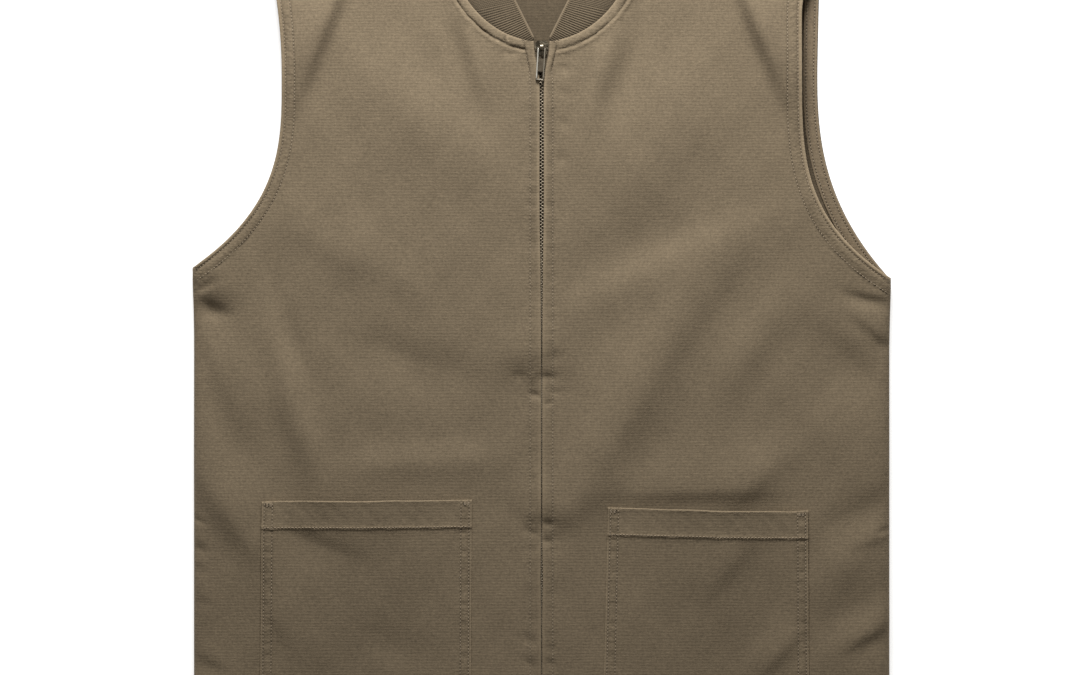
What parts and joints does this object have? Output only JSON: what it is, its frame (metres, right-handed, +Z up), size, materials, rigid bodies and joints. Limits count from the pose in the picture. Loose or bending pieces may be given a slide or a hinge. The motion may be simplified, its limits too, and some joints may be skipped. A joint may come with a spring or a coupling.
{
  "type": "canvas vest",
  "caption": "Sleeveless canvas work vest lying flat: boxy body with straight sides, full-length zip with a framed pull, rib-knit collar and large patch pockets",
  "frame": {"origin": "middle of the bounding box on the surface that the back lies on", "axes": "+X is the wearer's left, +Y runs to the collar, +Z is up, out of the front"},
  "size_m": [0.6046, 0.752, 0.0274],
  "materials": {
    "canvas": "matte",
    "rib_knit": "matte",
    "zip_tape": "matte",
    "zip_brass": "antique satin"
  },
  "bodies": {
    "vest": {"back_panel": "canvas", "front_left_panel": "canvas", "front_right_panel": "canvas", "armhole_facing_front_left": "canvas", "armhole_facing_front_right": "canvas", "armhole_facing_back_left": "canvas", "armhole_facing_back_right": "canvas", "pocket_left": "canvas", "pocket_right": "canvas", "collar_rib": "rib_knit", "zip_tape_left": "zip_tape", "zip_tape_right": "zip_tape", "zip_teeth_left": "zip_brass", "zip_teeth_right": "zip_brass", "zip_slider": "zip_brass", "zip_box": "zip_brass"},
    "pull": {"zip_pull": "zip_brass"}
  },
  "joints": [
    {"name": "pull_swing", "type": "hinge", "parent": "vest", "child": "pull", "pos_m": [0, 0.2452, 0.01475], "axis": [-1, 0, 0], "range_deg": [0, 165]}
  ]
}
